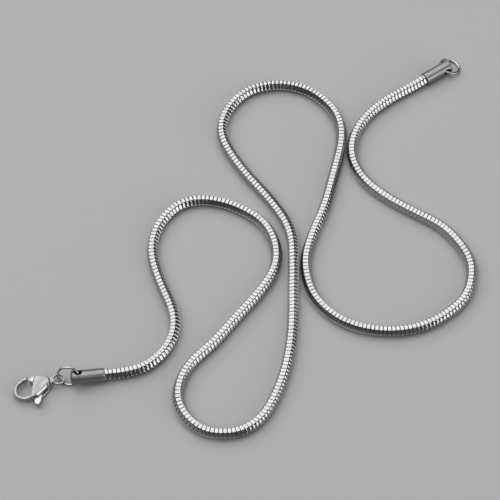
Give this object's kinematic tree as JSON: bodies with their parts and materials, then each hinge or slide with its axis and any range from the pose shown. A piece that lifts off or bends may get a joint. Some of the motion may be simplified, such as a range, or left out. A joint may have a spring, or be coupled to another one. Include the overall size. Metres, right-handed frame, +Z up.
{
  "type": "necklace chain",
  "caption": "Round snake chain necklace in steel, lying open in loops, with an end cap and jump ring at each end and a sprung trigger clasp on one of them.",
  "frame": {"origin": "middle of the whole necklace's footprint, on the surface that it lies on", "axes": "+Z up from the surface, +X to the right and +Y away from the viewer, as the necklace lies in the picture"},
  "size_m": [0.1301, 0.1329, 0.0063],
  "materials": {
    "chain_steel": "polished stainless steel links",
    "cap_steel": "satin stainless steel with bright edges",
    "ring_steel": "polished stainless steel wire",
    "clasp_steel": "cast stainless steel, satin faces and polished edges",
    "lever_steel": "polished stainless steel"
  },
  "bodies": {
    "necklace": {"snake_chain": "chain_steel", "clasp_end_cap": "cap_steel", "tail_end_cap": "cap_steel", "clasp_jump_ring": "ring_steel", "tail_jump_ring": "ring_steel", "clasp_body": "clasp_steel"},
    "lever": {"clasp_lever": "lever_steel"}
  },
  "joints": [
    {"name": "lever_hinge", "type": "hinge", "parent": "necklace", "child": "lever", "pos_m": [-0.0582, -0.0498, 0.00145], "axis": [0, 0, 1], "range_deg": [0, 28], "stiffness_Nm_per_rad": 0.02, "springref_deg": -17.19}
  ]
}
